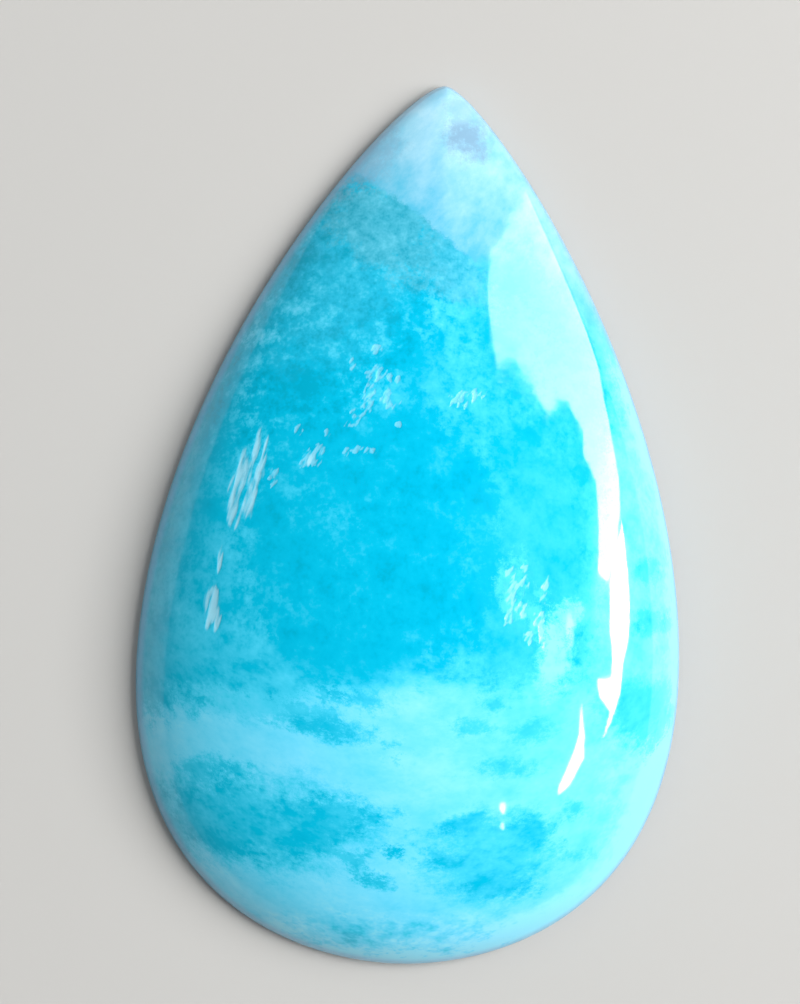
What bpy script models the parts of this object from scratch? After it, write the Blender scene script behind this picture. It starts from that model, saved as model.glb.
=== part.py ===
"""A pear-cut cabochon of caribbean blue calcite: one polished stone, lying on its flat back.

Metres, +Z up. The origin is under the middle of the stone's box, on the flat back, and the pear's
point is towards +Y. From the back up, the stone has a flat ground back, a small bevel that keeps
the edge from chipping, a low wall that leans in a little, a rounded rim, and a dome with its crest
nearer the butt.
"""

import math

import bmesh
import bpy
from mathutils import Vector
from mathutils.geometry import interpolate_bezier

MM = 0.001

# The stone's overall size.
LENGTH = 43.0 * MM
WIDTH = 26.6 * MM
THICKNESS = 6.5 * MM

# The pear outline, as three knots on each side: butt, shoulder and nose. Each handle is the length
# of a Bezier handle, level at the butt and nose and along the stone at the shoulder.
SHOULDER_ABOVE_BUTT = 14.2 * MM
BUTT_HANDLE = 5.2 * MM
SHOULDER_HANDLE_TO_BUTT = 11.2 * MM
SHOULDER_HANDLE_TO_NOSE = 14.3 * MM
NOSE_HANDLE = 2.0 * MM

# The edge, from the back up, as heights and how far in each lies from the outline. The bevel runs
# out, the wall leans in, and the rim rounds over into the dome. Its corner is where the wall and
# the dome's foot would meet if they weren't rounded.
BEVEL_HEIGHT = 0.30 * MM
BEVEL_RUN = 0.30 * MM
WALL_TOP = 0.50 * MM
WALL_LEAN = 0.05 * MM
RIM_CORNER = 0.72 * MM
RIM_TOP = 1.20 * MM
RIM_INSET = 0.32 * MM

# The dome. Its level lines are the pear outline at the rim, and a plain oval near the crest, which
# is what softens the keel that runs from the crest to the point.
CREST_ABOVE_BUTT = 16.0 * MM
OVAL_HALF_WIDTH = 13.0 * MM
OVAL_HALF_LENGTH = 16.0 * MM
PEAR_POWER = 4  # how late, on the way out to the rim, the oval turns into the pear
# The pear's nose is fuller inside than at the rim, so that the dome has no sharp ridge there.
FULL_NOSE_BACK = 1.2 * MM
FULL_NOSE_HANDLE = 5.5 * MM
NOSE_POWER = 9  # how late the full nose turns into the rim's
CAP_SHARE = 0.90  # how far down its own ellipsoid the dome is cut: 1 would meet the wall upright
# Over its last 2 mm or so the dome turns down faster than the ellipsoid, by this much in all.
TURN_DOWN = 0.50 * MM
TURN_POWER = 20

# How finely the stone is faceted.
BUTT_STEPS = 17
SIDE_STEPS = 35
DOME_RINGS = 20
RIM_RINGS = 3

CALCITE_BLUE = (0.04, 0.50, 0.66, 1.0)
POLISHED_ROUGHNESS = 0.12


def clear_scene():
    """Removes every object that the scene starts with."""
    for obj in list(bpy.data.objects):
        bpy.data.objects.remove(obj)


def right_side(nose_y, nose_handle):
    """A pear's right side from the butt to the nose, both included."""
    butt_y = -LENGTH / 2
    shoulder_y = butt_y + SHOULDER_ABOVE_BUTT
    butt = Vector((0.0, butt_y))
    butt_handle = Vector((BUTT_HANDLE, butt_y))
    shoulder_from_butt = Vector((WIDTH / 2, shoulder_y - SHOULDER_HANDLE_TO_BUTT))
    shoulder = Vector((WIDTH / 2, shoulder_y))
    shoulder_to_nose = Vector((WIDTH / 2, shoulder_y + SHOULDER_HANDLE_TO_NOSE))
    nose_right = Vector((nose_handle, nose_y))
    nose = Vector((0.0, nose_y))
    belly = interpolate_bezier(butt, butt_handle, shoulder_from_butt, shoulder, BUTT_STEPS + 1)
    flank = interpolate_bezier(shoulder, shoulder_to_nose, nose_right, nose, SIDE_STEPS + 1)
    return [Vector(point) for point in belly + flank[1:]]


def pear_outline(nose_y=LENGTH / 2, nose_handle=NOSE_HANDLE):
    """A whole pear, anticlockwise from the butt, with no point twice."""
    right = right_side(nose_y, nose_handle)
    left = [Vector((-point.x, point.y)) for point in reversed(right[1:-1])]
    return right + left


def inset(outline, distance):
    """The outline moved in by the same distance all round."""
    before = outline[-1:] + outline[:-1]
    after = outline[1:] + outline[:1]
    moved = []
    for last, point, following in zip(before, outline, after):
        along = (following - last).normalized()
        moved.append(point + distance * Vector((-along.y, along.x)))
    return moved


def dome_line(foot, full_foot, share):
    """One level line of the dome, at a share of the way from the crest out to the dome's foot."""
    crest = Vector((0.0, CREST_ABOVE_BUTT - LENGTH / 2))
    pear_share = share**PEAR_POWER
    nose_share = share**NOSE_POWER
    line = []
    for edge, full_edge in zip(foot, full_foot):
        reach = full_edge.lerp(edge, nose_share) - crest
        to_oval = math.hypot(reach.x / OVAL_HALF_WIDTH, reach.y / OVAL_HALF_LENGTH)
        line.append(crest + reach * share * (pear_share + (1 - pear_share) / to_oval))
    return line


def dome_height(share):
    """The dome's height at that share: the cap of an ellipsoid, turned down to the rim at its edge."""
    cut = math.sqrt(1 - CAP_SHARE**2)
    risen = (math.sqrt(1 - (CAP_SHARE * share) ** 2) - cut) / (1 - cut)
    cap_foot = RIM_TOP + TURN_DOWN
    return cap_foot + (THICKNESS - cap_foot) * risen - TURN_DOWN * share**TURN_POWER


def rim_rounding():
    """(inset, height) of each ring below the dome's foot, round the rim and down to the wall's top."""
    foot, corner, top = (
        Vector((RIM_INSET, RIM_TOP)),
        Vector((WALL_LEAN, RIM_CORNER)),
        Vector((WALL_LEAN, WALL_TOP)),
    )
    rings = []
    for ring in range(1, RIM_RINGS + 1):
        t = ring / RIM_RINGS
        rings.append(foot.lerp(corner, t).lerp(corner.lerp(top, t), t))
    return rings


def level_lines():
    """(points, height) of each level line, from the crest down the dome and under to the back's middle."""
    outline = pear_outline()
    foot = inset(outline, RIM_INSET)
    full_foot = inset(pear_outline(LENGTH / 2 - FULL_NOSE_BACK, FULL_NOSE_HANDLE), RIM_INSET)
    lines = []
    for ring in range(DOME_RINGS + 1):
        share = math.sin(math.asin(CAP_SHARE) * ring / DOME_RINGS) / CAP_SHARE
        lines.append((dome_line(foot, full_foot, share), dome_height(share)))
    lines += [(inset(outline, inward), height) for inward, height in rim_rounding()]
    back_edge = inset(outline, BEVEL_RUN)
    back_middle = [Vector((0.0, 0.0)) for _ in outline]
    return lines + [(outline, BEVEL_HEIGHT), (back_edge, 0.0), (back_middle, 0.0)]


def stone_mesh():
    """A UV sphere whose rings are drawn out onto the stone's level lines."""
    lines = level_lines()
    bands = len(lines) - 1
    meridians = len(lines[0][0])
    mesh = bpy.data.meshes.new("calcite_cabochon")
    bm = bmesh.new()
    bmesh.ops.create_uvsphere(bm, u_segments=meridians, v_segments=bands, radius=1.0)
    for vertex in bm.verts:
        x, y, z = vertex.co
        ring = round(math.acos(max(-1.0, min(1.0, z))) / math.pi * bands)
        meridian = round(math.atan2(x, -y) / math.tau * meridians) % meridians
        points, height = lines[ring]
        vertex.co = (points[meridian].x, points[meridian].y, height)
    bm.to_mesh(mesh)
    bm.free()
    return mesh


def calcite_material():
    """Polished calcite, a sea blue."""
    material = bpy.data.materials.new("polished_calcite")
    material.use_nodes = True
    shader = material.node_tree.nodes["Principled BSDF"]
    shader.inputs["Base Color"].default_value = CALCITE_BLUE
    shader.inputs["Roughness"].default_value = POLISHED_ROUGHNESS
    shader.inputs["Metallic"].default_value = 0.0
    return material


def build_stone():
    """The stone, smooth over dome and wall, and creased at the bevel."""
    mesh = stone_mesh()
    mesh.materials.append(calcite_material())
    mesh.shade_smooth()
    mesh.set_sharp_from_angle(angle=math.radians(30))
    collection = bpy.data.collections.new("caribbean_blue_calcite")
    bpy.context.scene.collection.children.link(collection)
    collection.objects.link(bpy.data.objects.new("calcite_cabochon", mesh))


clear_scene()
build_stone()
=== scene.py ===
"""The looks of a pear cabochon of caribbean blue calcite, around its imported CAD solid."""

import math

import bpy
from mathutils import Matrix, Vector


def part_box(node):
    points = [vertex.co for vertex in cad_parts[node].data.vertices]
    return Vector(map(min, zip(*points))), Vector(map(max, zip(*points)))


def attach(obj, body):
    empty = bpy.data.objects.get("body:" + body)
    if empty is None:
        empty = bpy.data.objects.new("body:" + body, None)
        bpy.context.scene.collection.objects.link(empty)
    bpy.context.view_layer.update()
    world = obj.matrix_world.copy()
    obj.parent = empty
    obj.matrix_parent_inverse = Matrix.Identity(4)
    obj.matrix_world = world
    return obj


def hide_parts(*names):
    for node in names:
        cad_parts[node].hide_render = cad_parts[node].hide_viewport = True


MM = 0.001

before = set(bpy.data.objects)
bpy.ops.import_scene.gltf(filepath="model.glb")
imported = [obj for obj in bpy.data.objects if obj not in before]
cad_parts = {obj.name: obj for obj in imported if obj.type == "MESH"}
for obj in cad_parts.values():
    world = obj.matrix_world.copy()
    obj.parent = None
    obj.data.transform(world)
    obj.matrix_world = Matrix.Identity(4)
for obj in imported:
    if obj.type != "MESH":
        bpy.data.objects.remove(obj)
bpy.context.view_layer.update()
STONE = "calcite_cabochon"
low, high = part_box(STONE)
LENGTH = high.y - low.y
WIDTH = high.x - low.x
THICKNESS = high.z - low.z

MATH = "ShaderNodeMath"
VECTOR = "ShaderNodeVectorMath"
TRIPLE = "ShaderNodeCombineXYZ"
NOISE = "ShaderNodeTexNoise"
RANGE = "ShaderNodeMapRange"
MIX = "ShaderNodeMix"


def srgb(code):
    """Turns an sRGB hex colour into linear RGBA."""
    channels = [int(code[i : i + 2], 16) / 255 for i in (1, 3, 5)]
    linear = [c / 12.92 if c <= 0.04045 else ((c + 0.055) / 1.055) ** 2.4 for c in channels]
    return (*linear, 1.0)


def add(tree, kind, inputs=(), **settings):
    """Adds a node with its own settings, and gives its inputs, in order or by name.

    An input gets a value, a socket, or a node, which stands for its first output. Only the sockets
    that the settings leave in use count.
    """
    made = tree.nodes.new(kind)
    for name, value in settings.items():
        setattr(made, name, value)
    slots = [slot for slot in made.inputs if slot.enabled]
    for key, source in inputs.items() if isinstance(inputs, dict) else enumerate(inputs):
        slot = slots[key] if isinstance(key, int) else next(slot for slot in slots if slot.name == key)
        if isinstance(source, bpy.types.Node):
            source = next(output for output in source.outputs if output.enabled)
        if isinstance(source, bpy.types.NodeSocket):
            tree.links.new(source, slot)
        else:
            slot.default_value = source
    return made


# The stone's shape. The outline's knots and handles, and the edge, are the solid's own.
SHOULDER_ABOVE_BUTT = 14.2 * MM
BUTT_HANDLE = 5.2 * MM
SHOULDER_HANDLE_TO_BUTT = 11.2 * MM
SHOULDER_HANDLE_TO_NOSE = 14.3 * MM
NOSE_HANDLE = 2.0 * MM
FULL_NOSE_BACK = 1.2 * MM
FULL_NOSE_HANDLE = 5.5 * MM

# The edge's corners, from the dome's foot down to the back: how far in from the outline, and how high.
EDGE_CORNERS = {
    "Dome Foot": (0.32 * MM, 0.0, 1.20 * MM),
    "Rim Corner": (0.05 * MM, 0.0, 0.72 * MM),
    "Wall Top": (0.05 * MM, 0.0, 0.50 * MM),
    "Wall Foot": (0.0, 0.0, 0.30 * MM),
    "Back Edge": (0.30 * MM, 0.0, 0.0),
}
STONE_SIZES = {
    "Thickness": THICKNESS,
    "Crest": 16.0 * MM - LENGTH / 2,
    "Oval Half Width": 13.0 * MM,
    "Oval Half Length": 16.0 * MM,
    "Pear Power": 4.0,
    "Nose Power": 9.0,
    "Cap Share": 0.90,
    "Turn Down": 0.50 * MM,
    "Turn Power": 20.0,
    "Wave Height": 0.03 * MM,
    "Wave Size": 6.0 * MM,
    "Pluck Depth": 0.02 * MM,
}
SEED = 3.0
GRID_SIDE = 250  # points along each side of the square that becomes the dome
MERGE_DISTANCE = 0.0002 * MM

# The rows of points below the dome, as shares of the way round the rim, down the wall, and round each
# of the bevel's two worn corners.
RIM_STEPS = (0.17, 0.33, 0.5, 0.67, 0.83, 1.0)
WALL_STEPS = (0.3, 0.6)
WEAR_STEPS = (0.0, 0.25, 0.5, 0.75, 1.0)
# What the worn corners reach: from how far down the wall, between which shares of the bevel, and how
# far in over the back, in widths of the bevel.
WEAR_ON_WALL = 0.92
WEAR_ON_BEVEL = (0.20, 0.80)
WEAR_ON_BACK = 1.25
# The last rows shrink towards the back's middle, each to this share of the one before. Set in like
# the others, they would cross under the nose.
BACK_SHARES = (0.94, 0.0)

# Where soft crystals were plucked out of the dome as it was ground, in mm: the middle of each group,
# half its width and half its length, and the degrees by which it leans to the right.
LONG_PLUCKS = (
    (-8.6, 1.2, 0.9, 2.8, 12.0),
    (-9.95, -4.8, 0.5, 1.3, 4.0),
    (-9.7, -2.4, 0.15, 1.0, 4.0),
    (-5.6, 2.6, 0.25, 0.8, 25.0),
)
SHORT_PLUCKS = (
    (-7.5, 1.5, 0.3, 0.6, 10.0),
    (-5.7, 2.6, 0.55, 0.9, 30.0),
    (-5.1, 3.6, 0.3, 0.3, 0.0),
    (-2.9, 6.6, 0.65, 0.6, 0.0),
    (-2.1, 6.4, 0.4, 0.25, 0.0),
    (-3.0, 7.8, 0.45, 0.3, 0.0),
    (-3.25, 5.4, 0.35, 1.1, 12.0),
    (-3.8, 4.5, 0.4, 0.8, 25.0),
    (-2.3, 5.4, 0.6, 0.6, 0.0),
    (-4.05, 7.0, 0.25, 0.4, 0.0),
    (-3.4, 2.9, 0.9, 0.25, 0.0),
    (-4.2, 2.8, 0.2, 0.35, 10.0),
    (-1.8, 4.2, 0.2, 0.2, 0.0),
    (1.3, 5.7, 1.1, 0.5, -20.0),
    (-6.4, 3.7, 0.25, 0.4, 0.0),
    (3.8, -3.0, 0.5, 1.2, 0.0),
    (4.45, -2.7, 0.3, 1.0, 0.0),
    (3.75, -4.5, 0.25, 0.7, 5.0),
    (4.4, -4.1, 0.45, 0.5, 0.0),
    (4.8, -5.4, 0.4, 0.4, 0.0),
    (5.4, -3.3, 0.25, 1.1, 8.0),
    (5.25, -4.5, 0.4, 0.6, 0.0),
    (5.45, -5.4, 0.2, 0.8, -5.0),
)

# The long and the short slivers: their groups, the degrees by which they lean right, how often they
# vary per mm across them, along them and with height, and the bar that their noise has to pass inside
# a group. Outside the groups hardly any of it passes. A sliver is whole this far above its bar.
PLUCK_KINDS = (
    (LONG_PLUCKS, 13, (3.8, 0.6, 2.0), 0.40),
    (SHORT_PLUCKS, 28, (5.0, 1.9, 2.0), 0.42),
)
BAR_OUTSIDE = 0.85
FULL_ABOVE_BAR = 0.20


def pear_outlines():
    """Two closed curves in one object: the pear outline, and the pear with a fuller nose inside it."""
    curve = bpy.data.curves.new("pear_outlines", "CURVE")
    curve.dimensions = "3D"
    curve.resolution_u = 128
    shoulder = SHOULDER_ABOVE_BUTT - LENGTH / 2
    down, up = Vector((0, -SHOULDER_HANDLE_TO_BUTT, 0)), Vector((0, SHOULDER_HANDLE_TO_NOSE, 0))
    butt_right = Vector((BUTT_HANDLE, 0, 0))
    for nose_back, nose_handle in ((0.0, NOSE_HANDLE), (FULL_NOSE_BACK, FULL_NOSE_HANDLE)):
        nose_right = Vector((nose_handle, 0, 0))
        knots = [
            (Vector((0, -LENGTH / 2, 0)), -butt_right, butt_right),
            (Vector((WIDTH / 2, shoulder, 0)), down, up),
            (Vector((0, LENGTH / 2 - nose_back, 0)), nose_right, -nose_right),
            (Vector((-WIDTH / 2, shoulder, 0)), up, down),
        ]
        spline = curve.splines.new("BEZIER")
        spline.bezier_points.add(len(knots) - 1)
        for point, (place, before, after) in zip(spline.bezier_points, knots):
            point.handle_left_type = point.handle_right_type = "FREE"
            point.co = place
            point.handle_left = place + before
            point.handle_right = place + after
        spline.use_cyclic_u = True
    outlines = bpy.data.objects.new("pear_outlines", curve)
    bpy.context.scene.collection.objects.link(outlines)
    return outlines


def patch(tree, place, middle, halves, lean, soft, crumble=0.0):
    """1 inside an oval patch and 0 outside it, in mm, with an edge soft by a share of its size.

    A crumble in mm moves the edge in and out. It counts for less on a patch that is small beside it.
    """
    turned = add(tree, "ShaderNodeVectorRotate", (place, middle, (0, 0, 1), math.radians(lean)))
    away = add(tree, VECTOR, (turned, middle), operation="SUBTRACT")
    shares = add(tree, VECTOR, (away, (1 / halves[0], 1 / halves[1], 0)), operation="MULTIPLY")
    reach = add(tree, VECTOR, (shares,), operation="LENGTH")
    moved = add(tree, MATH, (crumble, 1 / (min(halves) + 0.5), reach), operation="MULTIPLY_ADD")
    return add(tree, RANGE, (moved, 1 - soft, 1 + soft, 1.0, 0.0), interpolation_type="SMOOTHSTEP")


def plucked(tree, place):
    """How plucked the dome is at a place in mm, 0 to 1, by long and by short slivers that lean right."""
    both = []
    for groups, lean, sliver, bar_inside in PLUCK_KINDS:
        inside = 0.0
        for x, y, half_width, half_length, group_lean in groups:
            group = patch(tree, place, (x, y, 0), (half_width, half_length), group_lean, 0.5)
            inside = add(tree, MATH, (inside, group), operation="MAXIMUM")
        leaning = add(tree, "ShaderNodeVectorRotate", (place, (0, 0, 0), (0, 0, 1), math.radians(lean)))
        slivers = add(tree, VECTOR, (leaning, sliver), operation="MULTIPLY")
        fields = {"Vector": slivers, "W": SEED, "Scale": 1.0, "Detail": 1.5, "Distortion": 0.2}
        grain = add(tree, NOISE, fields, noise_dimensions="4D")
        bar = add(tree, RANGE, (inside, 0.0, 1.0, BAR_OUTSIDE, bar_inside))
        over = add(tree, MATH, (grain, bar), operation="SUBTRACT")
        reach = (over, 0.0, FULL_ABOVE_BAR, 0.0, 1.0)
        both.append(add(tree, RANGE, reach, interpolation_type="SMOOTHSTEP"))
    return both


def rim_point(tree, outlines, turn, edge, full=0):
    """An outline's point at a share of the way round, moved in and up by an edge point's X and Z."""
    where = {"Curves": outlines, "Factor": turn, "Curve Index": full}
    at = add(tree, "GeometryNodeSampleCurve", where, mode="FACTOR")
    parts = add(tree, "ShaderNodeSeparateXYZ", (edge,))
    inward = add(tree, VECTOR, ((0, 0, 1), at.outputs["Tangent"]), operation="CROSS_PRODUCT")
    inset = add(tree, VECTOR, {"Vector": inward, "Scale": parts.outputs["X"]}, operation="SCALE")
    lift = add(tree, TRIPLE, {"Z": parts.outputs["Z"]})
    moved = add(tree, VECTOR, (at.outputs["Position"], inset), operation="ADD")
    return add(tree, VECTOR, (moved, lift), operation="ADD")


def rounded(tree, before, corner, after, steps):
    """Points along the curve that rounds a corner off, at shares of the way round it."""
    points = []
    for step in steps:
        near = add(tree, MIX, {"Factor": step, "A": before, "B": corner}, data_type="VECTOR")
        far = add(tree, MIX, {"Factor": step, "A": corner, "B": after}, data_type="VECTOR")
        points.append(add(tree, MIX, {"Factor": step, "A": near, "B": far}, data_type="VECTOR"))
    return points


def square_to_disc(tree):
    """(share of the way round, share of the way out) of each point of a square grid drawn to a disc."""
    square = add(tree, "ShaderNodeSeparateXYZ", (add(tree, "GeometryNodeInputPosition"),))
    across, along = square.outputs["X"], square.outputs["Y"]
    sides = [add(tree, MATH, (side,), operation="ABSOLUTE") for side in (across, along)]
    out = add(tree, MATH, sides, operation="MAXIMUM")
    angle = add(tree, MATH, (along, across), operation="ARCTAN2")
    quarters = add(tree, MATH, (angle, 2 / math.pi), operation="MULTIPLY")
    quarter = add(tree, MATH, (quarters,), operation="ROUND")
    past = add(tree, MATH, (quarters, quarter), operation="SUBTRACT")
    past = add(tree, MATH, (past, math.pi / 2), operation="MULTIPLY")
    slant = add(tree, MATH, (past,), operation="TANGENT")
    turned = add(tree, MATH, (slant, 0.5, quarter), operation="MULTIPLY_ADD")
    turn = add(tree, MATH, (add(tree, MATH, (turned, 0.25), operation="MULTIPLY"),), operation="FRACT")
    return turn, out


def dome_point(tree, given, turn, share):
    """A point of the dome. Its level lines turn from the pear at the rim into an oval at the crest."""
    crest = add(tree, TRIPLE, {"Y": given["Crest"]})
    outlines = given["Outlines"]
    foot, full_foot = (rim_point(tree, outlines, turn, given["Dome Foot"], full) for full in (0, 1))
    nose_share = add(tree, MATH, (share, given["Nose Power"]), operation="POWER")
    foot = add(tree, MIX, {"Factor": nose_share, "A": full_foot, "B": foot}, data_type="VECTOR")
    foot = add(tree, VECTOR, (foot, (1, 1, 0)), operation="MULTIPLY")
    reach = add(tree, VECTOR, (foot, crest), operation="SUBTRACT")
    oval = add(tree, TRIPLE, {"X": given["Oval Half Width"], "Y": given["Oval Half Length"], "Z": 1.0})
    shares = add(tree, VECTOR, (reach, oval), operation="DIVIDE")
    to_oval = add(tree, VECTOR, (shares,), operation="LENGTH")
    pear_share = add(tree, MATH, (share, given["Pear Power"]), operation="POWER")
    rest = add(tree, MATH, (1.0, pear_share), operation="SUBTRACT")
    oval_share = add(tree, MATH, (rest, to_oval), operation="DIVIDE")
    both = add(tree, MATH, (pear_share, oval_share), operation="ADD")
    spread = add(tree, MATH, (share, both), operation="MULTIPLY")
    flat = add(tree, VECTOR, {"Vector": reach, "Scale": spread}, operation="SCALE")

    cap = given["Cap Share"]
    cut = add(tree, MATH, (add(tree, MATH, (cap,), operation="ARCSINE"),), operation="COSINE")
    down = add(tree, MATH, (cap, share), operation="MULTIPLY")
    fall = add(tree, MATH, (add(tree, MATH, (down,), operation="ARCSINE"),), operation="COSINE")
    foot_height = add(tree, "ShaderNodeSeparateXYZ", (given["Dome Foot"],)).outputs["Z"]
    cap_foot = add(tree, MATH, (foot_height, given["Turn Down"]), operation="ADD")
    capped = add(tree, RANGE, (fall, cut, 1.0, cap_foot, given["Thickness"]))
    turned = add(tree, MATH, (share, given["Turn Power"]), operation="POWER")
    turned = add(tree, MATH, (turned, given["Turn Down"]), operation="MULTIPLY")
    height = add(tree, MATH, (capped, turned), operation="SUBTRACT")
    lift = add(tree, TRIPLE, {"Z": height})
    above = add(tree, VECTOR, (crest, lift), operation="ADD")
    return add(tree, VECTOR, (flat, above), operation="ADD")


def cabochon_tree():
    """A node tree that cuts a cabochon to an outline: dome, rounded rim, leaning wall, bevel and back."""
    tree = bpy.data.node_groups.new("cabochon_from_outline", "GeometryNodeTree")
    face = tree.interface
    face.new_socket("Outlines", in_out="INPUT", socket_type="NodeSocketGeometry")
    for name in EDGE_CORNERS:
        face.new_socket(name, in_out="INPUT", socket_type="NodeSocketVector")
    for name in STONE_SIZES:
        face.new_socket(name, in_out="INPUT", socket_type="NodeSocketFloat")
    face.new_socket("Seed", in_out="INPUT", socket_type="NodeSocketFloat")
    face.new_socket("Grid Side", in_out="INPUT", socket_type="NodeSocketInt")
    face.new_socket("Material", in_out="INPUT", socket_type="NodeSocketMaterial")
    face.new_socket("Stone", in_out="OUTPUT", socket_type="NodeSocketGeometry")
    given = add(tree, "NodeGroupInput").outputs

    side = given["Grid Side"]
    sizes = {"Size X": 2.0, "Size Y": 2.0, "Vertices X": side, "Vertices Y": side}
    grid = add(tree, "GeometryNodeMeshGrid", sizes)
    turn, out = square_to_disc(tree)
    body = add(tree, "GeometryNodeStoreNamedAttribute", {"Geometry": grid, "Name": "turn", "Value": turn})
    body = add(tree, "GeometryNodeStoreNamedAttribute", {"Geometry": body, "Name": "out", "Value": out})
    turn = add(tree, "GeometryNodeInputNamedAttribute", {"Name": "turn"}, data_type="FLOAT")
    out = add(tree, "GeometryNodeInputNamedAttribute", {"Name": "out"}, data_type="FLOAT")
    place = dome_point(tree, given, turn, out)
    body = add(tree, "GeometryNodeSetPosition", {"Geometry": body, "Position": place})

    # The edge and the back: the dome's open edge is drawn out and down, row by row, and under to the
    # back's middle.
    wall_top, wall_foot, back_edge = given["Wall Top"], given["Wall Foot"], given["Back Edge"]
    near_foot = add(tree, MIX, {"Factor": WEAR_ON_WALL, "A": wall_top, "B": wall_foot}, data_type="VECTOR")
    bevel_top, bevel_foot = (
        add(tree, MIX, {"Factor": share, "A": wall_foot, "B": back_edge}, data_type="VECTOR")
        for share in WEAR_ON_BEVEL
    )
    on_back = add(tree, VECTOR, (back_edge, (WEAR_ON_BACK, 1, 1)), operation="MULTIPLY")
    rows = rounded(tree, given["Dome Foot"], given["Rim Corner"], wall_top, RIM_STEPS)
    for step in WALL_STEPS:
        rows.append(add(tree, MIX, {"Factor": step, "A": wall_top, "B": near_foot}, data_type="VECTOR"))
    rows += rounded(tree, near_foot, wall_foot, bevel_top, WEAR_STEPS)
    rows += rounded(tree, bevel_foot, back_edge, on_back, WEAR_STEPS)
    neighbours = add(tree, "GeometryNodeInputMeshEdgeNeighbors")
    chosen = add(tree, "FunctionNodeCompare", (neighbours, 1), data_type="INT", operation="EQUAL")
    spot = add(tree, "GeometryNodeInputPosition")
    places = [rim_point(tree, given["Outlines"], turn, row) for row in rows]
    for share in BACK_SHARES:
        places.append(add(tree, VECTOR, (spot, (share, share, 1)), operation="MULTIPLY"))
    for place in places:
        edges = {"Mesh": body, "Selection": chosen, "Offset Scale": 0.0}
        drawn = add(tree, "GeometryNodeExtrudeMesh", edges, mode="EDGES")
        chosen = drawn.outputs["Top"]
        moved = {"Geometry": drawn, "Selection": chosen, "Position": place}
        body = add(tree, "GeometryNodeSetPosition", moved)
    body = add(tree, "GeometryNodeMergeByDistance", {"Geometry": body, "Distance": MERGE_DISTANCE})

    # The slow waves that a hand leaves when it works a dome against a wheel, and the plucked slivers.
    # Both only go down from the dome, and the wall and the back stay as they are.
    wave_size = add(tree, MATH, (1.0, given["Wave Size"]), operation="DIVIDE")
    fields = {"Vector": spot, "W": given["Seed"], "Scale": wave_size, "Detail": 1.0}
    waves = add(tree, NOISE, fields, noise_dimensions="4D")
    swell = add(tree, MATH, (waves, 1.0), operation="SUBTRACT")
    swell = add(tree, MATH, (swell, given["Wave Height"]), operation="MULTIPLY")
    in_mm = add(tree, VECTOR, {"Vector": spot, "Scale": 1 / MM}, operation="SCALE")
    pits = add(tree, MATH, plucked(tree, in_mm), operation="MAXIMUM")
    pits = add(tree, MATH, (pits, given["Pluck Depth"]), operation="MULTIPLY")
    sunk = add(tree, MATH, (swell, pits), operation="SUBTRACT")
    height = add(tree, "ShaderNodeSeparateXYZ", (spot,)).outputs["Z"]
    wall_height = add(tree, "ShaderNodeSeparateXYZ", (wall_top,)).outputs["Z"]
    foot_height = add(tree, "ShaderNodeSeparateXYZ", (given["Dome Foot"],)).outputs["Z"]
    on_dome = add(tree, RANGE, (height, wall_height, foot_height, 0.0, 1.0))
    sunk = add(tree, MATH, (sunk, on_dome), operation="MULTIPLY")
    outward = add(tree, "GeometryNodeInputNormal")
    push = add(tree, VECTOR, {"Vector": outward, "Scale": sunk}, operation="SCALE")
    body = add(tree, "GeometryNodeSetPosition", {"Geometry": body, "Offset": push})
    for name in ("turn", "out"):
        body = add(tree, "GeometryNodeRemoveAttribute", {"Geometry": body, "Name": name})
    body = add(tree, "GeometryNodeSetShadeSmooth", {"Geometry": body})
    body = add(tree, "GeometryNodeRealizeInstances", {"Geometry": body})
    body = add(tree, "GeometryNodeSetMaterial", {"Geometry": body, "Material": given["Material"]})
    add(tree, "NodeGroupOutput", {"Stone": body})
    return tree


def cut_stone(material):
    """The stone as one plain mesh."""
    outlines = pear_outlines()
    cutter = outlines.modifiers.new("cabochon", "NODES")
    cutter.node_group = cabochon_tree()
    values = {**EDGE_CORNERS, **STONE_SIZES, "Seed": SEED, "Grid Side": GRID_SIDE, "Material": material}
    for item in cutter.node_group.interface.items_tree:
        if item.name in values:
            cutter[item.identifier] = values[item.name]
    seen = bpy.context.evaluated_depsgraph_get()
    mesh = bpy.data.meshes.new_from_object(outlines.evaluated_get(seen), depsgraph=seen)
    mesh.name = "calcite_stone"
    bpy.data.objects.remove(outlines)
    stone = bpy.data.objects.new("calcite_stone", mesh)
    bpy.context.scene.collection.objects.link(stone)
    return stone


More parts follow.
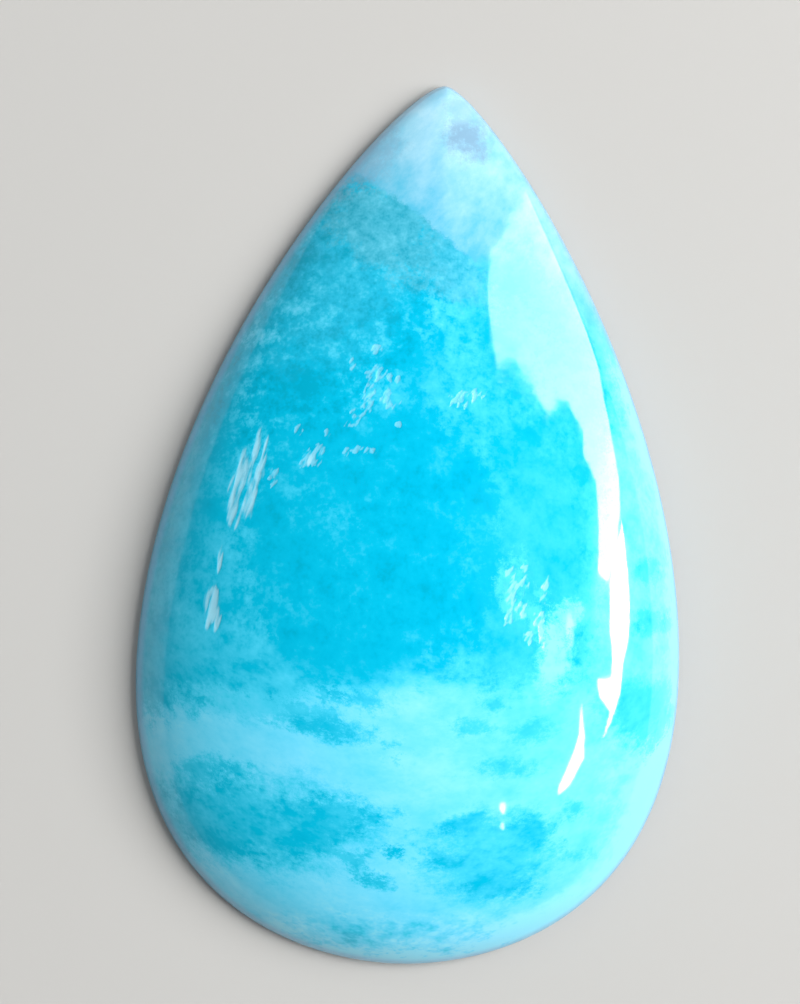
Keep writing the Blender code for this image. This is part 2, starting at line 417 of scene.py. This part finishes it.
# How milky the stone is, from 0, a deep clear blue, to 1, nearly white. It starts at one level, and
# each patch in turn is laid over it, in mm: its middle, half its width and half its length, the
# degrees by which it leans right, how soft its edge is as a share of its size, and its own level.
PLAIN_MILK = 0.50
MILK_PATCHES = (
    # the pale right side, the pale butt, and the left rim
    (14.2, -3.0, 6.6, 18.0, 0.0, 0.18, 0.87),
    (11.2, -4.4, 0.9, 0.5, 0.0, 0.60, 0.62),
    (10.9, -2.0, 0.6, 0.6, 0.0, 0.60, 0.66),
    (-14.4, -2.0, 3.6, 12.0, 0.0, 0.25, 0.50),
    (1.0, -30.0, 30.0, 22.4, 0.0, 0.035, 0.88),
    (12.8, -14.0, 3.4, 7.0, 0.0, 0.40, 0.97),
    # the arm that climbs the left side, with its pale spots, and the clearer blue beside it
    (-5.0, 10.0, 4.4, 8.6, 28.0, 0.22, 0.36),
    (-8.7, 8.2, 0.7, 0.5, 0.0, 0.60, 0.64),
    (-7.4, 9.6, 0.8, 0.5, 0.0, 0.60, 0.52),
    (-5.4, 9.2, 1.2, 0.6, 0.0, 0.60, 0.50),
    (-9.2, 5.4, 0.7, 1.4, 20.0, 0.60, 0.46),
    (-5.3, 6.0, 2.4, 1.3, -20.0, 0.50, 0.24),
    (-3.2, 8.4, 2.2, 0.8, -15.0, 0.50, 0.38),
    (0.8, 9.6, 1.7, 2.9, 5.0, 0.35, 0.60),
    (-1.4, 6.2, 2.3, 2.0, 10.0, 0.50, 0.50),
    (1.0, 5.8, 1.6, 0.8, -10.0, 0.60, 0.55),
    # the clear oval, its mottled right side, and paler spots about the plucked slivers
    (5.0, 0.0, 2.9, 7.6, 0.0, 0.30, 0.50),
    (-2.8, -1.6, 6.2, 6.6, 0.0, 0.10, 0.38),
    (-3.4, 2.2, 4.4, 2.4, 0.0, 0.40, 0.36),
    (-1.6, -2.8, 2.6, 3.4, 0.0, 0.60, 0.29),
    (3.4, -7.0, 2.1, 0.6, -4.0, 0.50, 0.54),
    (3.8, -3.0, 0.45, 1.1, 0.0, 0.50, 0.74),
    (4.4, -4.1, 0.50, 0.45, 0.0, 0.50, 0.68),
    (4.45, -2.6, 0.30, 0.9, 0.0, 0.50, 0.64),
    (5.35, -4.6, 0.40, 1.0, 0.0, 0.50, 0.68),
    (-1.6, 5.6, 1.0, 0.8, 0.0, 0.60, 0.52),
    (-2.4, 4.8, 0.8, 0.5, -20.0, 0.60, 0.50),
    # milky swirls and ragged streaks under the oval, and a painted reflection of the window's soft glow
    (0.6, -10.6, 2.6, 3.2, 0.0, 0.60, 0.93),
    (5.4, -9.4, 3.6, 2.0, 0.0, 0.50, 0.84),
    (-9.9, -6.3, 2.3, 1.1, 8.0, 0.50, 0.56),
    (-8.0, -7.8, 1.9, 0.6, 10.0, 0.60, 0.56),
    (-4.9, -9.8, 2.4, 0.45, 15.0, 0.80, 0.46),
    (-2.6, -8.7, 0.8, 0.4, 20.0, 0.80, 0.48),
    (-8.4, -9.0, 2.2, 0.5, 5.0, 0.80, 0.70),
    (10.9, -8.6, 1.9, 1.5, 0.0, 0.35, 0.62),
    (2.4, -9.6, 0.6, 0.3, 0.0, 0.80, 0.60),
    (3.3, -8.5, 0.5, 0.3, 0.0, 0.80, 0.58),
    (5.0, -9.7, 0.9, 0.4, -10.0, 0.80, 0.62),
    (3.9, -11.5, 0.9, 0.3, 0.0, 0.80, 0.64),
    (7.7, -13.3, 0.5, 0.3, 0.0, 0.80, 0.60),
    # a painted reflection: the window's soft glow beside its bright strip, laid on as milk
    (6.4, -6.3, 0.7, 1.5, 0.0, 0.60, 1.00),
    (7.1, -4.4, 0.5, 0.7, 0.0, 0.60, 0.92),
    # dark clouds in the butt
    (-7.4, -14.6, 5.4, 2.0, 0.0, 0.50, 0.52),
    (-10.0, -12.3, 0.9, 0.5, 0.0, 0.80, 0.56),
    (-8.2, -12.4, 0.5, 0.4, 0.0, 0.80, 0.52),
    (-8.8, -14.8, 2.2, 1.2, 0.0, 0.60, 0.46),
    (-4.0, -13.8, 2.1, 0.6, 0.0, 0.70, 0.44),
    (-4.5, -14.7, 1.2, 0.9, -20.0, 0.70, 0.42),
    (-2.6, -15.7, 0.6, 0.25, -10.0, 0.80, 0.50),
    (-2.2, -16.3, 0.8, 0.3, 35.0, 0.80, 0.50),
    (-1.5, -16.9, 0.6, 0.35, 20.0, 0.80, 0.45),
    (-0.7, -15.5, 0.35, 0.25, 0.0, 0.80, 0.35),
    (3.9, -15.8, 2.9, 2.0, 0.0, 0.45, 0.57),
    (5.6, -14.5, 1.1, 0.4, 8.0, 0.80, 0.52),
    (2.7, -14.1, 1.0, 0.3, 0.0, 0.80, 0.54),
    (1.6, -15.8, 0.8, 0.4, 0.0, 0.80, 0.50),
    (4.6, -17.2, 1.4, 0.45, 0.0, 0.80, 0.50),
    (8.0, -15.6, 0.8, 0.3, 0.0, 0.80, 0.66),
    (0.0, -20.6, 8.0, 1.8, 0.0, 0.60, 0.93),
)
# How grainy the stone is, as patches of the same kind.
PLAIN_GRAIN = 0.50
GRAIN_PATCHES = (
    (1.0, -30.0, 30.0, 22.4, 0.0, 0.035, 0.17),
    (-5.4, 9.4, 4.8, 9.0, 28.0, 0.22, 1.25),
    (-11.0, -2.0, 2.4, 6.5, 0.0, 0.30, 0.44),
    (-2.8, -1.6, 6.2, 6.6, 0.0, 0.20, 0.66),
    (5.0, -2.0, 2.6, 6.0, 0.0, 0.30, 0.21),
    (-6.8, -14.4, 5.0, 2.2, 0.0, 0.40, 0.45),
    (3.9, -15.8, 3.2, 2.4, 0.0, 0.40, 0.42),
    (0.0, -20.4, 7.0, 1.5, 0.0, 0.60, 0.95),
    (14.0, -2.0, 6.6, 17.0, 0.0, 0.15, 0.26),
)
# How much milkier the rim gets, at the left and at the right, between which X, and from which height
# down to which, all in mm.
PALE_RIM = (0.0, 0.20)
PALE_RIM_ACROSS = (-4.0, 8.0)
PALE_RIM_BELOW = (3.2, 1.2)
# Slow swirls bend every patch: their size and their reach in mm.
SWIRL_SIZE = 7.0
SWIRL_REACH = 1.2
# The butt's bands: how far they sag towards the middle, per square mm of the way out, how much longer
# than wide they are, and between which Y they set in.
BAND_SAG = 0.018
BAND_STRETCH = 1.5
BUTT_BANDS_FROM = (-5.0, -9.0)
# Three textures: size in mm, detail and roughness.
CRUMBLE = (1.6, 6.0, 0.88)
CLOUD = (2.0, 3.0, 0.65)
GRAIN = (0.70, 3.0, 0.80)
CRUMBLE_REACH = 7.5  # mm, from the darkest of the texture to the palest
CLOUD_DEPTH = 0.65
MOTTLE_PALER = 0.55  # how strongly the textures whiten, beside how strongly they darken
MILK_COLOURS = (
    (0.0, "#00aacb"),
    (0.25, "#00b6db"),
    (0.40, "#04bce0"),
    (0.50, "#28c4e7"),
    (0.65, "#45d2f3"),
    (0.78, "#5dd9fb"),
    (0.90, "#73e0ff"),
    (1.0, "#89e6ff"),
)

# How strongly calcite bends light, how rough the polish is, how much rougher a plucked sliver, and how
# rough the ground back. Then how high the polish undulates, how deep the slivers are in it, and how
# deep and how close the grinding marks are, along them, across them and with height.
CALCITE_IOR = 1.6
POLISH_ROUGHNESS = 0.05
PLUCK_ROUGHER = 0.30
BACK_ROUGHNESS = 0.42
POLISH_WAVES = 0.004 * MM
POLISH_WAVES_PER_MM = 0.9
PLUCK_RELIEF = 0.012 * MM
GRINDING_MARKS = 0.02 * MM
GRINDING_MARKS_PER_MM = (0.6, 9.0, 1.0)

# Plucked slivers are bruised white, and painted glints whiten them further, with a painted highlight
# along their lips: how white the long ones and the short ones are, and their lips.
PLUCK_BRUISE_AND_GLINT = (0.55, 0.24)
LIP_GLINT = 0.10
BRUISED_AND_GLINT = "#c4f2ff"

# The rim is paler and greyer, partly because the stone is thin there and partly as painted shade and a
# painted dark reflection along the edge: from and to which heights in mm that shows, how much at the left
# and at the right, between which X, how unevenly, how much on the back, and what colour it gives.
THIN_AND_SHADED_BELOW = (1.45, 0.8)
THIN_AND_SHADED_MOST = (0.66, 0.92)
THIN_AND_SHADED_ACROSS = (4.0, 12.0)
THIN_AND_SHADED_UNEVENNESS = 0.6
THIN_AND_SHADED_ON_BACK = 0.10
THIN_AND_SHADED_RIM = "#7db8df"
# The ground back starts on the bevel, between these heights in mm.
BACK_BELOW = (0.30, 0.05)

# A healed crack crosses the stone: the way it faces, how far out that way the ice starts, how far out
# it is full, at the left and at the right, between which X that changes, and how ragged the crack is.
# The lengths are in mm.
CRACK_FACES = (0.592, 0.806, 0.0)
CRACK_FROM = 10.85
CRACK_TO = (11.10, 14.50)
CRACK_FADES = (1.6, 3.6)
CRACK_RAGGEDNESS = 0.20
# The icy point past the crack: the degrees by which its fibres lean right, how often they vary per mm
# across them, along them and with height, and how they whiten it. Then from and to how far out it gets
# whiter, and by how much there, and between which X it gets bluer, and by how much.
FIBRES_LEAN = 35
FIBRES_PER_MM = (1.2, 0.7, 1.0)
FIBRES_WHITEN = (1.6, -0.45)
WHITER_PAST = (11.0, 15.5, -0.18, 0.54)
BLUER_ACROSS = (0.0, 4.0, 0.0, -0.35)
ICE = ("#58bedf", "#aedff2")
GREY_ICE = "#86acc8"

# The dull teal haze under the crack, between two colours by the grain, and the grey clouds in the icy
# point: as the patches above, but the last number is how much of their colour shows.
HAZE = ("#2ea2bc", "#6ec8de")
HAZE_BY_GRAIN = (1.2, 0.45)
HAZE_PATCHES = (
    (-5.2, 11.6, 3.2, 4.2, 28.0, 0.60, 0.28),
    (0.4, 12.3, 2.6, 1.3, 38.0, 0.50, 0.55),
    (-3.0, 14.1, 3.0, 1.8, 38.0, 0.30, 0.75),
)
GREY_PATCHES = (
    (1.1, 18.6, 1.0, 0.9, -10.0, 0.80, 0.95),
    (0.8, 20.0, 0.9, 0.5, 0.0, 0.60, 0.35),
    (-3.7, 17.3, 0.8, 1.6, 40.0, 0.70, 0.50),
)


def clouds(tree, place, patches, start, crumble=0.0):
    """Lays oval patches over one another, each at its own level."""
    level = start
    for x, y, half_width, half_length, lean, soft, own in patches:
        inside = patch(tree, place, (x, y, 0), (half_width, half_length), lean, soft, crumble)
        level = add(tree, MIX, {"Factor": inside, "A": level, "B": own}, data_type="FLOAT")
    return level


def texture(tree, place, banded, in_butt, look, seed):
    """A cloudy texture from -1 to 1, which is drawn out along the bands in the butt."""
    size, detail, roughness = look
    sources = []
    for ground in (place, banded):
        fields = {"Vector": ground, "W": seed, "Scale": 1 / size, "Detail": detail, "Roughness": roughness}
        sources.append(add(tree, NOISE, fields, noise_dimensions="4D"))
    both = add(tree, MIX, {"Factor": in_butt, "A": sources[0], "B": sources[1]}, data_type="FLOAT")
    return add(tree, MATH, (both, 2.0, -1.0), operation="MULTIPLY_ADD")


def banded_calcite():
    """Blue calcite clouded with white, polished.

    Calcite is soft and clear to milky, so it takes a bright but faintly uneven polish. Light goes a
    little way into real calcite, but this surface lets none in.
    """
    material = bpy.data.materials.new("polished_banded_calcite")
    material.use_nodes = True
    tree = material.node_tree
    shader = tree.nodes["Principled BSDF"]
    object_place = add(tree, "ShaderNodeTexCoord").outputs["Object"]
    place = add(tree, VECTOR, {"Vector": object_place, "Scale": 1 / MM}, operation="SCALE")

    # Slow swirls that bend every patch.
    fields = {"Vector": place, "W": SEED, "Scale": 1 / SWIRL_SIZE, "Detail": 1.0}
    swirl = add(tree, NOISE, fields, noise_dimensions="4D").outputs["Color"]
    swirl = add(tree, VECTOR, (swirl, (0.5, 0.5, 0.5)), operation="SUBTRACT")
    bent = add(tree, VECTOR, (swirl, (SWIRL_REACH, SWIRL_REACH, 0.0), place), operation="MULTIPLY_ADD")

    # The sagging bands of the butt, and the textures.
    parts = add(tree, "ShaderNodeSeparateXYZ", (place,))
    sag = add(tree, MATH, (parts.outputs["X"], parts.outputs["X"]), operation="MULTIPLY")
    level = add(tree, MATH, (sag, -BAND_SAG, parts.outputs["Y"]), operation="MULTIPLY_ADD")
    along = add(tree, MATH, (parts.outputs["X"], 1 / BAND_STRETCH), operation="MULTIPLY")
    banded = add(tree, TRIPLE, {"X": along, "Y": level, "Z": parts.outputs["Z"]})
    reach = (parts.outputs["Y"], *BUTT_BANDS_FROM, 0.0, 1.0)
    in_butt = add(tree, RANGE, reach, interpolation_type="SMOOTHSTEP")
    crumble = texture(tree, place, banded, in_butt, CRUMBLE, SEED + 1)
    crumble = add(tree, MATH, (crumble, CRUMBLE_REACH / 2), operation="MULTIPLY")
    cloud = texture(tree, place, banded, in_butt, CLOUD, SEED + 2)
    grain = texture(tree, place, banded, in_butt, GRAIN, SEED + 3)

    # Milk, with the textures on it. They darken more than they whiten, because the milky parts are
    # close to as milky as they get.
    milk = clouds(tree, bent, MILK_PATCHES, PLAIN_MILK, crumble)
    palest = add(tree, RANGE, (parts.outputs["X"], *PALE_RIM_ACROSS, *PALE_RIM))
    reach = (parts.outputs["Z"], *PALE_RIM_BELOW, 0.0, palest)
    edge = add(tree, RANGE, reach, interpolation_type="SMOOTHSTEP")
    milk = add(tree, MATH, (milk, edge), operation="ADD")
    graininess = clouds(tree, bent, GRAIN_PATCHES, PLAIN_GRAIN, crumble)
    cloudiness = add(tree, MATH, (graininess,), operation="SQRT")
    for mottle, amount, depth in ((cloud, cloudiness, CLOUD_DEPTH), (grain, graininess, 1.0)):
        mottle = add(tree, MATH, (mottle, amount), operation="MULTIPLY")
        darker = add(tree, MATH, (mottle, depth), operation="MULTIPLY")
        paler = add(tree, MATH, (darker, MOTTLE_PALER), operation="MULTIPLY")
        change = add(tree, MATH, (darker, paler), operation="MINIMUM")
        milk = add(tree, MATH, (milk, change), operation="ADD")

    colours = add(tree, "ShaderNodeValToRGB", (milk,))
    ramp = colours.color_ramp
    for at, _ in MILK_COLOURS[1:-1]:
        ramp.elements.new(at)
    for element, (at, code) in zip(ramp.elements, MILK_COLOURS):
        element.position = at
        element.color = srgb(code)
    haze = clouds(tree, bent, HAZE_PATCHES, 0.0, crumble)
    dulled = add(tree, MATH, (grain, *HAZE_BY_GRAIN), operation="MULTIPLY_ADD", use_clamp=True)
    dulled = add(tree, MIX, {"Factor": dulled, "A": srgb(HAZE[0]), "B": srgb(HAZE[1])}, data_type="RGBA")
    hazed = add(tree, MIX, {"Factor": haze, "A": colours, "B": dulled}, data_type="RGBA")

    # The icy point, past the healed crack.
    out = add(tree, VECTOR, (place, CRACK_FACES), operation="DOT_PRODUCT")
    out = add(tree, MATH, (crumble, CRACK_RAGGEDNESS, out), operation="MULTIPLY_ADD")
    crack_to = add(tree, RANGE, (parts.outputs["X"], *CRACK_FADES, *CRACK_TO))
    icy = add(tree, RANGE, (out, CRACK_FROM, crack_to, 0.0, 1.0), interpolation_type="SMOOTHSTEP")
    turn = math.radians(FIBRES_LEAN)
    leaning = add(tree, "ShaderNodeVectorRotate", (place, (0, 0, 0), (0, 0, 1), turn))
    fibres = add(tree, VECTOR, (leaning, FIBRES_PER_MM), operation="MULTIPLY")
    fields = {"Vector": fibres, "W": SEED, "Scale": 1.0, "Detail": 5.0, "Roughness": 0.65}
    fibres = add(tree, NOISE, fields, noise_dimensions="4D")
    depth = add(tree, RANGE, (out, *WHITER_PAST))
    whiter = add(tree, MATH, (fibres, *FIBRES_WHITEN), operation="MULTIPLY_ADD")
    whiter = add(tree, MATH, (whiter, depth), operation="ADD")
    bluer = add(tree, RANGE, (parts.outputs["X"], *BLUER_ACROSS))
    whiter = add(tree, MATH, (whiter, bluer), operation="ADD", use_clamp=True)
    ice = add(tree, MIX, {"Factor": whiter, "A": srgb(ICE[0]), "B": srgb(ICE[1])}, data_type="RGBA")
    frozen = add(tree, MIX, {"Factor": icy, "A": hazed, "B": ice}, data_type="RGBA")
    grey = clouds(tree, bent, GREY_PATCHES, 0.0, crumble)
    greyed = add(tree, MIX, {"Factor": grey, "A": frozen, "B": srgb(GREY_ICE)}, data_type="RGBA")

    # The rim, which shows less blue where the stone is thin and where shade and a dark reflection are
    # painted on it, and the bruised slivers with their painted glints, which the back has none of.
    reach = (parts.outputs["Z"], *BACK_BELOW, 0.0, 1.0)
    back = add(tree, RANGE, reach, interpolation_type="SMOOTHSTEP")
    thin_and_shaded_most = add(tree, RANGE, (parts.outputs["X"], *THIN_AND_SHADED_ACROSS, *THIN_AND_SHADED_MOST))
    reach = (parts.outputs["Z"], *THIN_AND_SHADED_BELOW, 0.0, thin_and_shaded_most)
    thin_and_shaded = add(tree, RANGE, reach, interpolation_type="SMOOTHSTEP")
    uneven = add(tree, MATH, (cloud, THIN_AND_SHADED_UNEVENNESS, 1.0), operation="MULTIPLY_ADD")
    thin_and_shaded = add(tree, MATH, (thin_and_shaded, uneven), operation="MULTIPLY")
    thin_and_shaded = add(tree, MIX, {"Factor": back, "A": thin_and_shaded, "B": THIN_AND_SHADED_ON_BACK}, data_type="FLOAT")
    rim_shade_and_glints = add(tree, MIX, {"Factor": thin_and_shaded, "A": greyed, "B": srgb(THIN_AND_SHADED_RIM)}, data_type="RGBA")
    # The slivers' whitening is partly their bruised calcite and partly painted glint, and the lip is a
    # painted highlight.
    both = plucked(tree, place)
    for slivers, bruise_and_glint in zip(both, PLUCK_BRUISE_AND_GLINT):
        painted_lip_glint = add(tree, MATH, (slivers, math.pi), operation="MULTIPLY")
        painted_lip_glint = add(tree, MATH, (add(tree, MATH, (painted_lip_glint,), operation="SINE"), 4.0), operation="POWER")
        paler = add(tree, MATH, (slivers, bruise_and_glint), operation="MULTIPLY")
        paler = add(tree, MATH, (painted_lip_glint, LIP_GLINT, paler), operation="MULTIPLY_ADD")
        paler = add(tree, MIX, {"Factor": back, "A": paler, "B": 0.0}, data_type="FLOAT")
        rim_shade_and_glints = add(tree, MIX, {"Factor": paler, "A": rim_shade_and_glints, "B": srgb(BRUISED_AND_GLINT)}, data_type="RGBA")
    slivers = add(tree, MATH, both, operation="MAXIMUM")

    # The dome and wall are polished. The plucked slivers and the ground back aren't.
    dull = add(tree, MATH, (slivers, PLUCK_ROUGHER, POLISH_ROUGHNESS), operation="MULTIPLY_ADD")
    dull = add(tree, MIX, {"Factor": back, "A": dull, "B": BACK_ROUGHNESS}, data_type="FLOAT")
    fields = {"Vector": place, "W": SEED + 4, "Scale": POLISH_WAVES_PER_MM, "Detail": 2.0}
    polish = add(tree, NOISE, fields, noise_dimensions="4D")
    scratches = add(tree, VECTOR, (place, GRINDING_MARKS_PER_MM), operation="MULTIPLY")
    fields = {"Vector": scratches, "W": SEED, "Scale": 1.0, "Detail": 4.0, "Roughness": 0.7}
    scratches = add(tree, NOISE, fields, noise_dimensions="4D")
    relief = add(tree, MATH, (polish, POLISH_WAVES), operation="MULTIPLY")
    relief = add(tree, MATH, (slivers, -PLUCK_RELIEF, relief), operation="MULTIPLY_ADD")
    ground = add(tree, MATH, (scratches, GRINDING_MARKS), operation="MULTIPLY")
    relief = add(tree, MIX, {"Factor": back, "A": relief, "B": ground}, data_type="FLOAT")
    bumped = add(tree, "ShaderNodeBump", {"Strength": 1.0, "Distance": 1.0, "Height": relief})

    base = next(output for output in rim_shade_and_glints.outputs if output.enabled)
    rough = next(output for output in dull.outputs if output.enabled)
    tree.links.new(base, shader.inputs["Base Color"])
    tree.links.new(rough, shader.inputs["Roughness"])
    tree.links.new(bumped.outputs["Normal"], shader.inputs["Normal"])
    shader.inputs["IOR"].default_value = CALCITE_IOR
    return material


FLOOR_PAPER = "#b8b7b4"
PAPER_ROUGHNESS = 0.7
FLOOR_HALF = 1.5  # half the length of its side, in metres


def pale_floor():
    """A plain pale studio floor, of matt paper, which shows no gloss."""
    material = bpy.data.materials.new("matt_pale_paper")
    material.use_nodes = True
    shader = material.node_tree.nodes["Principled BSDF"]
    shader.inputs["Base Color"].default_value = srgb(FLOOR_PAPER)
    shader.inputs["Roughness"].default_value = PAPER_ROUGHNESS
    mesh = bpy.data.meshes.new("floor")
    half = FLOOR_HALF
    corners = [(-half, -half, 0), (half, -half, 0), (half, half, 0), (-half, half, 0)]
    mesh.from_pydata(corners, [], [(0, 1, 2, 3)])
    mesh.materials.append(material)
    floor = bpy.data.objects.new("floor", mesh)
    bpy.context.scene.collection.objects.link(floor)


# The camera looks down on the stone from a hand's breadth or so away, a little from its left and from
# its butt, by these degrees. The stone's point leans right in the picture, by these degrees, and the
# sight passes a little beside the middle of the back.
LENS = 84.6  # mm, on a sensor whose long side is 36 mm
CAMERA_DISTANCE = 115.6 * MM
FROM_LEFT = 6.0
FROM_BUTT = 3.0
POINT_LEANS_RIGHT = 3.37
SIGHT_SHIFT_RIGHT = -0.92 * MM
SIGHT_SHIFT_UP = 0.93 * MM
CAMERA_SEES = (0.005, 10.0)  # from and to how far, in metres


def camera():
    """The photograph's view."""
    data = bpy.data.cameras.new("camera")
    data.lens = LENS
    data.clip_start, data.clip_end = CAMERA_SEES
    view = bpy.data.objects.new("camera", data)
    left, down = math.tan(math.radians(FROM_LEFT)), math.tan(math.radians(FROM_BUTT))
    away = Vector((-left, -down, 1.0)).normalized()
    right = Vector((0, 1, 0)).cross(away).normalized()
    turn = Matrix((right, away.cross(right), away)).transposed()
    turn = turn @ Matrix.Rotation(math.radians(POINT_LEANS_RIGHT), 3, "Z")
    aim = turn @ Vector((SIGHT_SHIFT_RIGHT, SIGHT_SHIFT_UP, 0))
    view.matrix_world = Matrix.Translation(aim + away * CAMERA_DISTANCE) @ turn.to_4x4()
    bpy.context.scene.collection.objects.link(view)
    bpy.context.scene.camera = view


# The soft boxes that light the stone: each by the degrees round from +X and up from the floor that
# it is seen at, its width and height in degrees, and its radiance.
LIGHT_DISTANCE = 0.5
SOFT_BOXES = (
    ("key", 11.0, 50.0, 40.0, 40.0, 9.6),
    ("overhead", 90.0, 89.0, 100.0, 100.0, 0.3),
    ("fill", 130.0, 35.0, 60.0, 60.0, 0.60),
)
# The window that shows in the stone's polish: a pane of open sky with a ragged foot, a strip of
# bright sky beside it, a gap low down, and specks of sky further round. Each has its radiance at the
# stone, what that gains per metre along X, Y and Z, and its corners in degrees round from +X and up
# from the floor.
WINDOW_PANES = {
    "sky_pane": (
        (11.2, (17.1, -40.5, 8.3)),
        ((41.5, 3.0), (43.0, 12.0), (46.5, 26.2), (50.4, 37.0), (55.2, 44.8), (56.4, 47.7), (55.5, 49.0),
         (53.2, 49.0), (51.3, 47.5), (48.7, 45.3), (47.3, 44.8), (44.6, 42.9), (42.1, 41.5), (39.6, 40.2),
         (37.8, 36.1), (35.8, 33.0), (33.5, 31.5), (31.6, 29.6), (29.9, 31.7), (25.4, 28.4), (22.3, 29.7),
         (12.3, 32.8), (10.3, 29.0), (13.8, 24.7), (22.0, 15.2), (25.7, 13.6), (28.9, 10.7), (30.1, 4.3),
         (33.6, 3.0)),
    ),
    "bright_pane": (
        (30.0, (0.0, 0.0, 0.0)),
        ((13.8, 24.9), (10.2, 28.1), (1.9, 29.1), (-2.2, 27.4), (-5.8, 27.8), (-6.8, 33.3), (-10.1, 31.6),
         (-11.6, 26.4), (-17.5, 27.7), (-11.8, 24.9), (-7.5, 23.2), (-2.7, 21.9), (2.4, 18.9), (7.6, 18.4),
         (17.5, 18.6)),
    ),
    "low_pane": (
        (30.0, (0.0, 0.0, 0.0)),
        ((-12.9, 38.2), (-19.2, 36.1), (-24.1, 36.1), (-31.0, 35.9), (-32.4, 35.1), (-29.4, 33.2),
         (-22.8, 32.2), (-18.6, 34.5)),
    ),
    "dim_speck": (
        (5.0, (0.0, 0.0, 0.0)),
        ((6.0, 45.0), (3.8, 43.7), (-0.1, 43.0), (-2.2, 44.1), (-0.1, 45.7), (3.9, 46.0)),
    ),
    "speck": (
        (20.0, (0.0, 0.0, 0.0)),
        ((-46.5, 47.2), (-45.3, 46.3), (-46.1, 44.9), (-47.8, 44.3), (-47.8, 46.2)),
    ),
    "lower_speck": (
        (14.0, (0.0, 0.0, 0.0)),
        ((-49.5, 43.1), (-48.8, 42.0), (-49.9, 40.8), (-50.6, 42.0)),
    ),
}

# The walls' own light: its strength low down and overhead, and the heights between which it changes,
# from 0 at the floor's level to 1 straight up.
WALLS = "#e4e6e8"
WALL_LIGHT = (0.15, 0.02)
WALL_HEIGHT = (0.05, 0.5)


def towards(around, up):
    """The place of something that is seen from the stone at degrees round from +X and up."""
    around, up = math.radians(around), math.radians(up)
    way = Vector((math.cos(up) * math.cos(around), math.cos(up) * math.sin(around), math.sin(up)))
    return way * LIGHT_DISTANCE


def soft_box(name, around, up, width, height, radiance):
    """A rectangular light that faces the stone, and that its polish doesn't show."""
    data = bpy.data.lights.new(name, "AREA")
    data.shape = "RECTANGLE"
    data.size = 2 * LIGHT_DISTANCE * math.tan(math.radians(width / 2))
    data.size_y = 2 * LIGHT_DISTANCE * math.tan(math.radians(height / 2))
    data.energy = radiance * math.pi * data.size * data.size_y
    light = bpy.data.objects.new(name, data)
    light.location = towards(around, up)
    light.rotation_euler = light.location.to_track_quat("Z", "Y").to_euler()
    light.visible_camera = False
    light.visible_glossy = False
    bpy.context.scene.collection.objects.link(light)


def window_pane(name, sky, corners):
    """A bright pane of window that only the stone's polish shows."""
    material = bpy.data.materials.new(name)
    material.use_nodes = True
    tree = material.node_tree
    tree.nodes.clear()
    radiance, gain = sky
    place = add(tree, "ShaderNodeTexCoord").outputs["Object"]
    gained = add(tree, VECTOR, (place, gain), operation="DOT_PRODUCT")
    strength = add(tree, MATH, (radiance, gained), operation="ADD")
    glow = add(tree, "ShaderNodeEmission", {"Color": srgb("#ffffff"), "Strength": strength})
    add(tree, "ShaderNodeOutputMaterial", {"Surface": glow})
    mesh = bpy.data.meshes.new(name)
    mesh.from_pydata([towards(*corner) for corner in corners], [], [range(len(corners))])
    mesh.materials.append(material)
    pane = bpy.data.objects.new(name, mesh)
    pane.visible_camera = False
    pane.visible_diffuse = False
    pane.visible_shadow = False
    bpy.context.scene.collection.objects.link(pane)


def studio():
    """The lights and the world."""
    for box in SOFT_BOXES:
        soft_box(*box)
    for name, (sky, corners) in WINDOW_PANES.items():
        window_pane(name, sky, corners)
    world = bpy.data.worlds.new("studio")
    bpy.context.scene.world = world
    world.use_nodes = True
    tree = world.node_tree
    ways = add(tree, "ShaderNodeSeparateXYZ", (add(tree, "ShaderNodeTexCoord").outputs["Generated"],))
    reach = (ways.outputs["Z"], *WALL_HEIGHT, *WALL_LIGHT)
    strength = add(tree, RANGE, reach, interpolation_type="SMOOTHSTEP")
    walls = tree.nodes["Background"]
    walls.inputs["Color"].default_value = srgb(WALLS)
    tree.links.new(strength.outputs[0], walls.inputs["Strength"])
    bpy.context.scene.view_settings.view_transform = "Standard"


camera()
studio()
pale_floor()
stone = cut_stone(banded_calcite())
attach(stone, "root")
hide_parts(STONE)
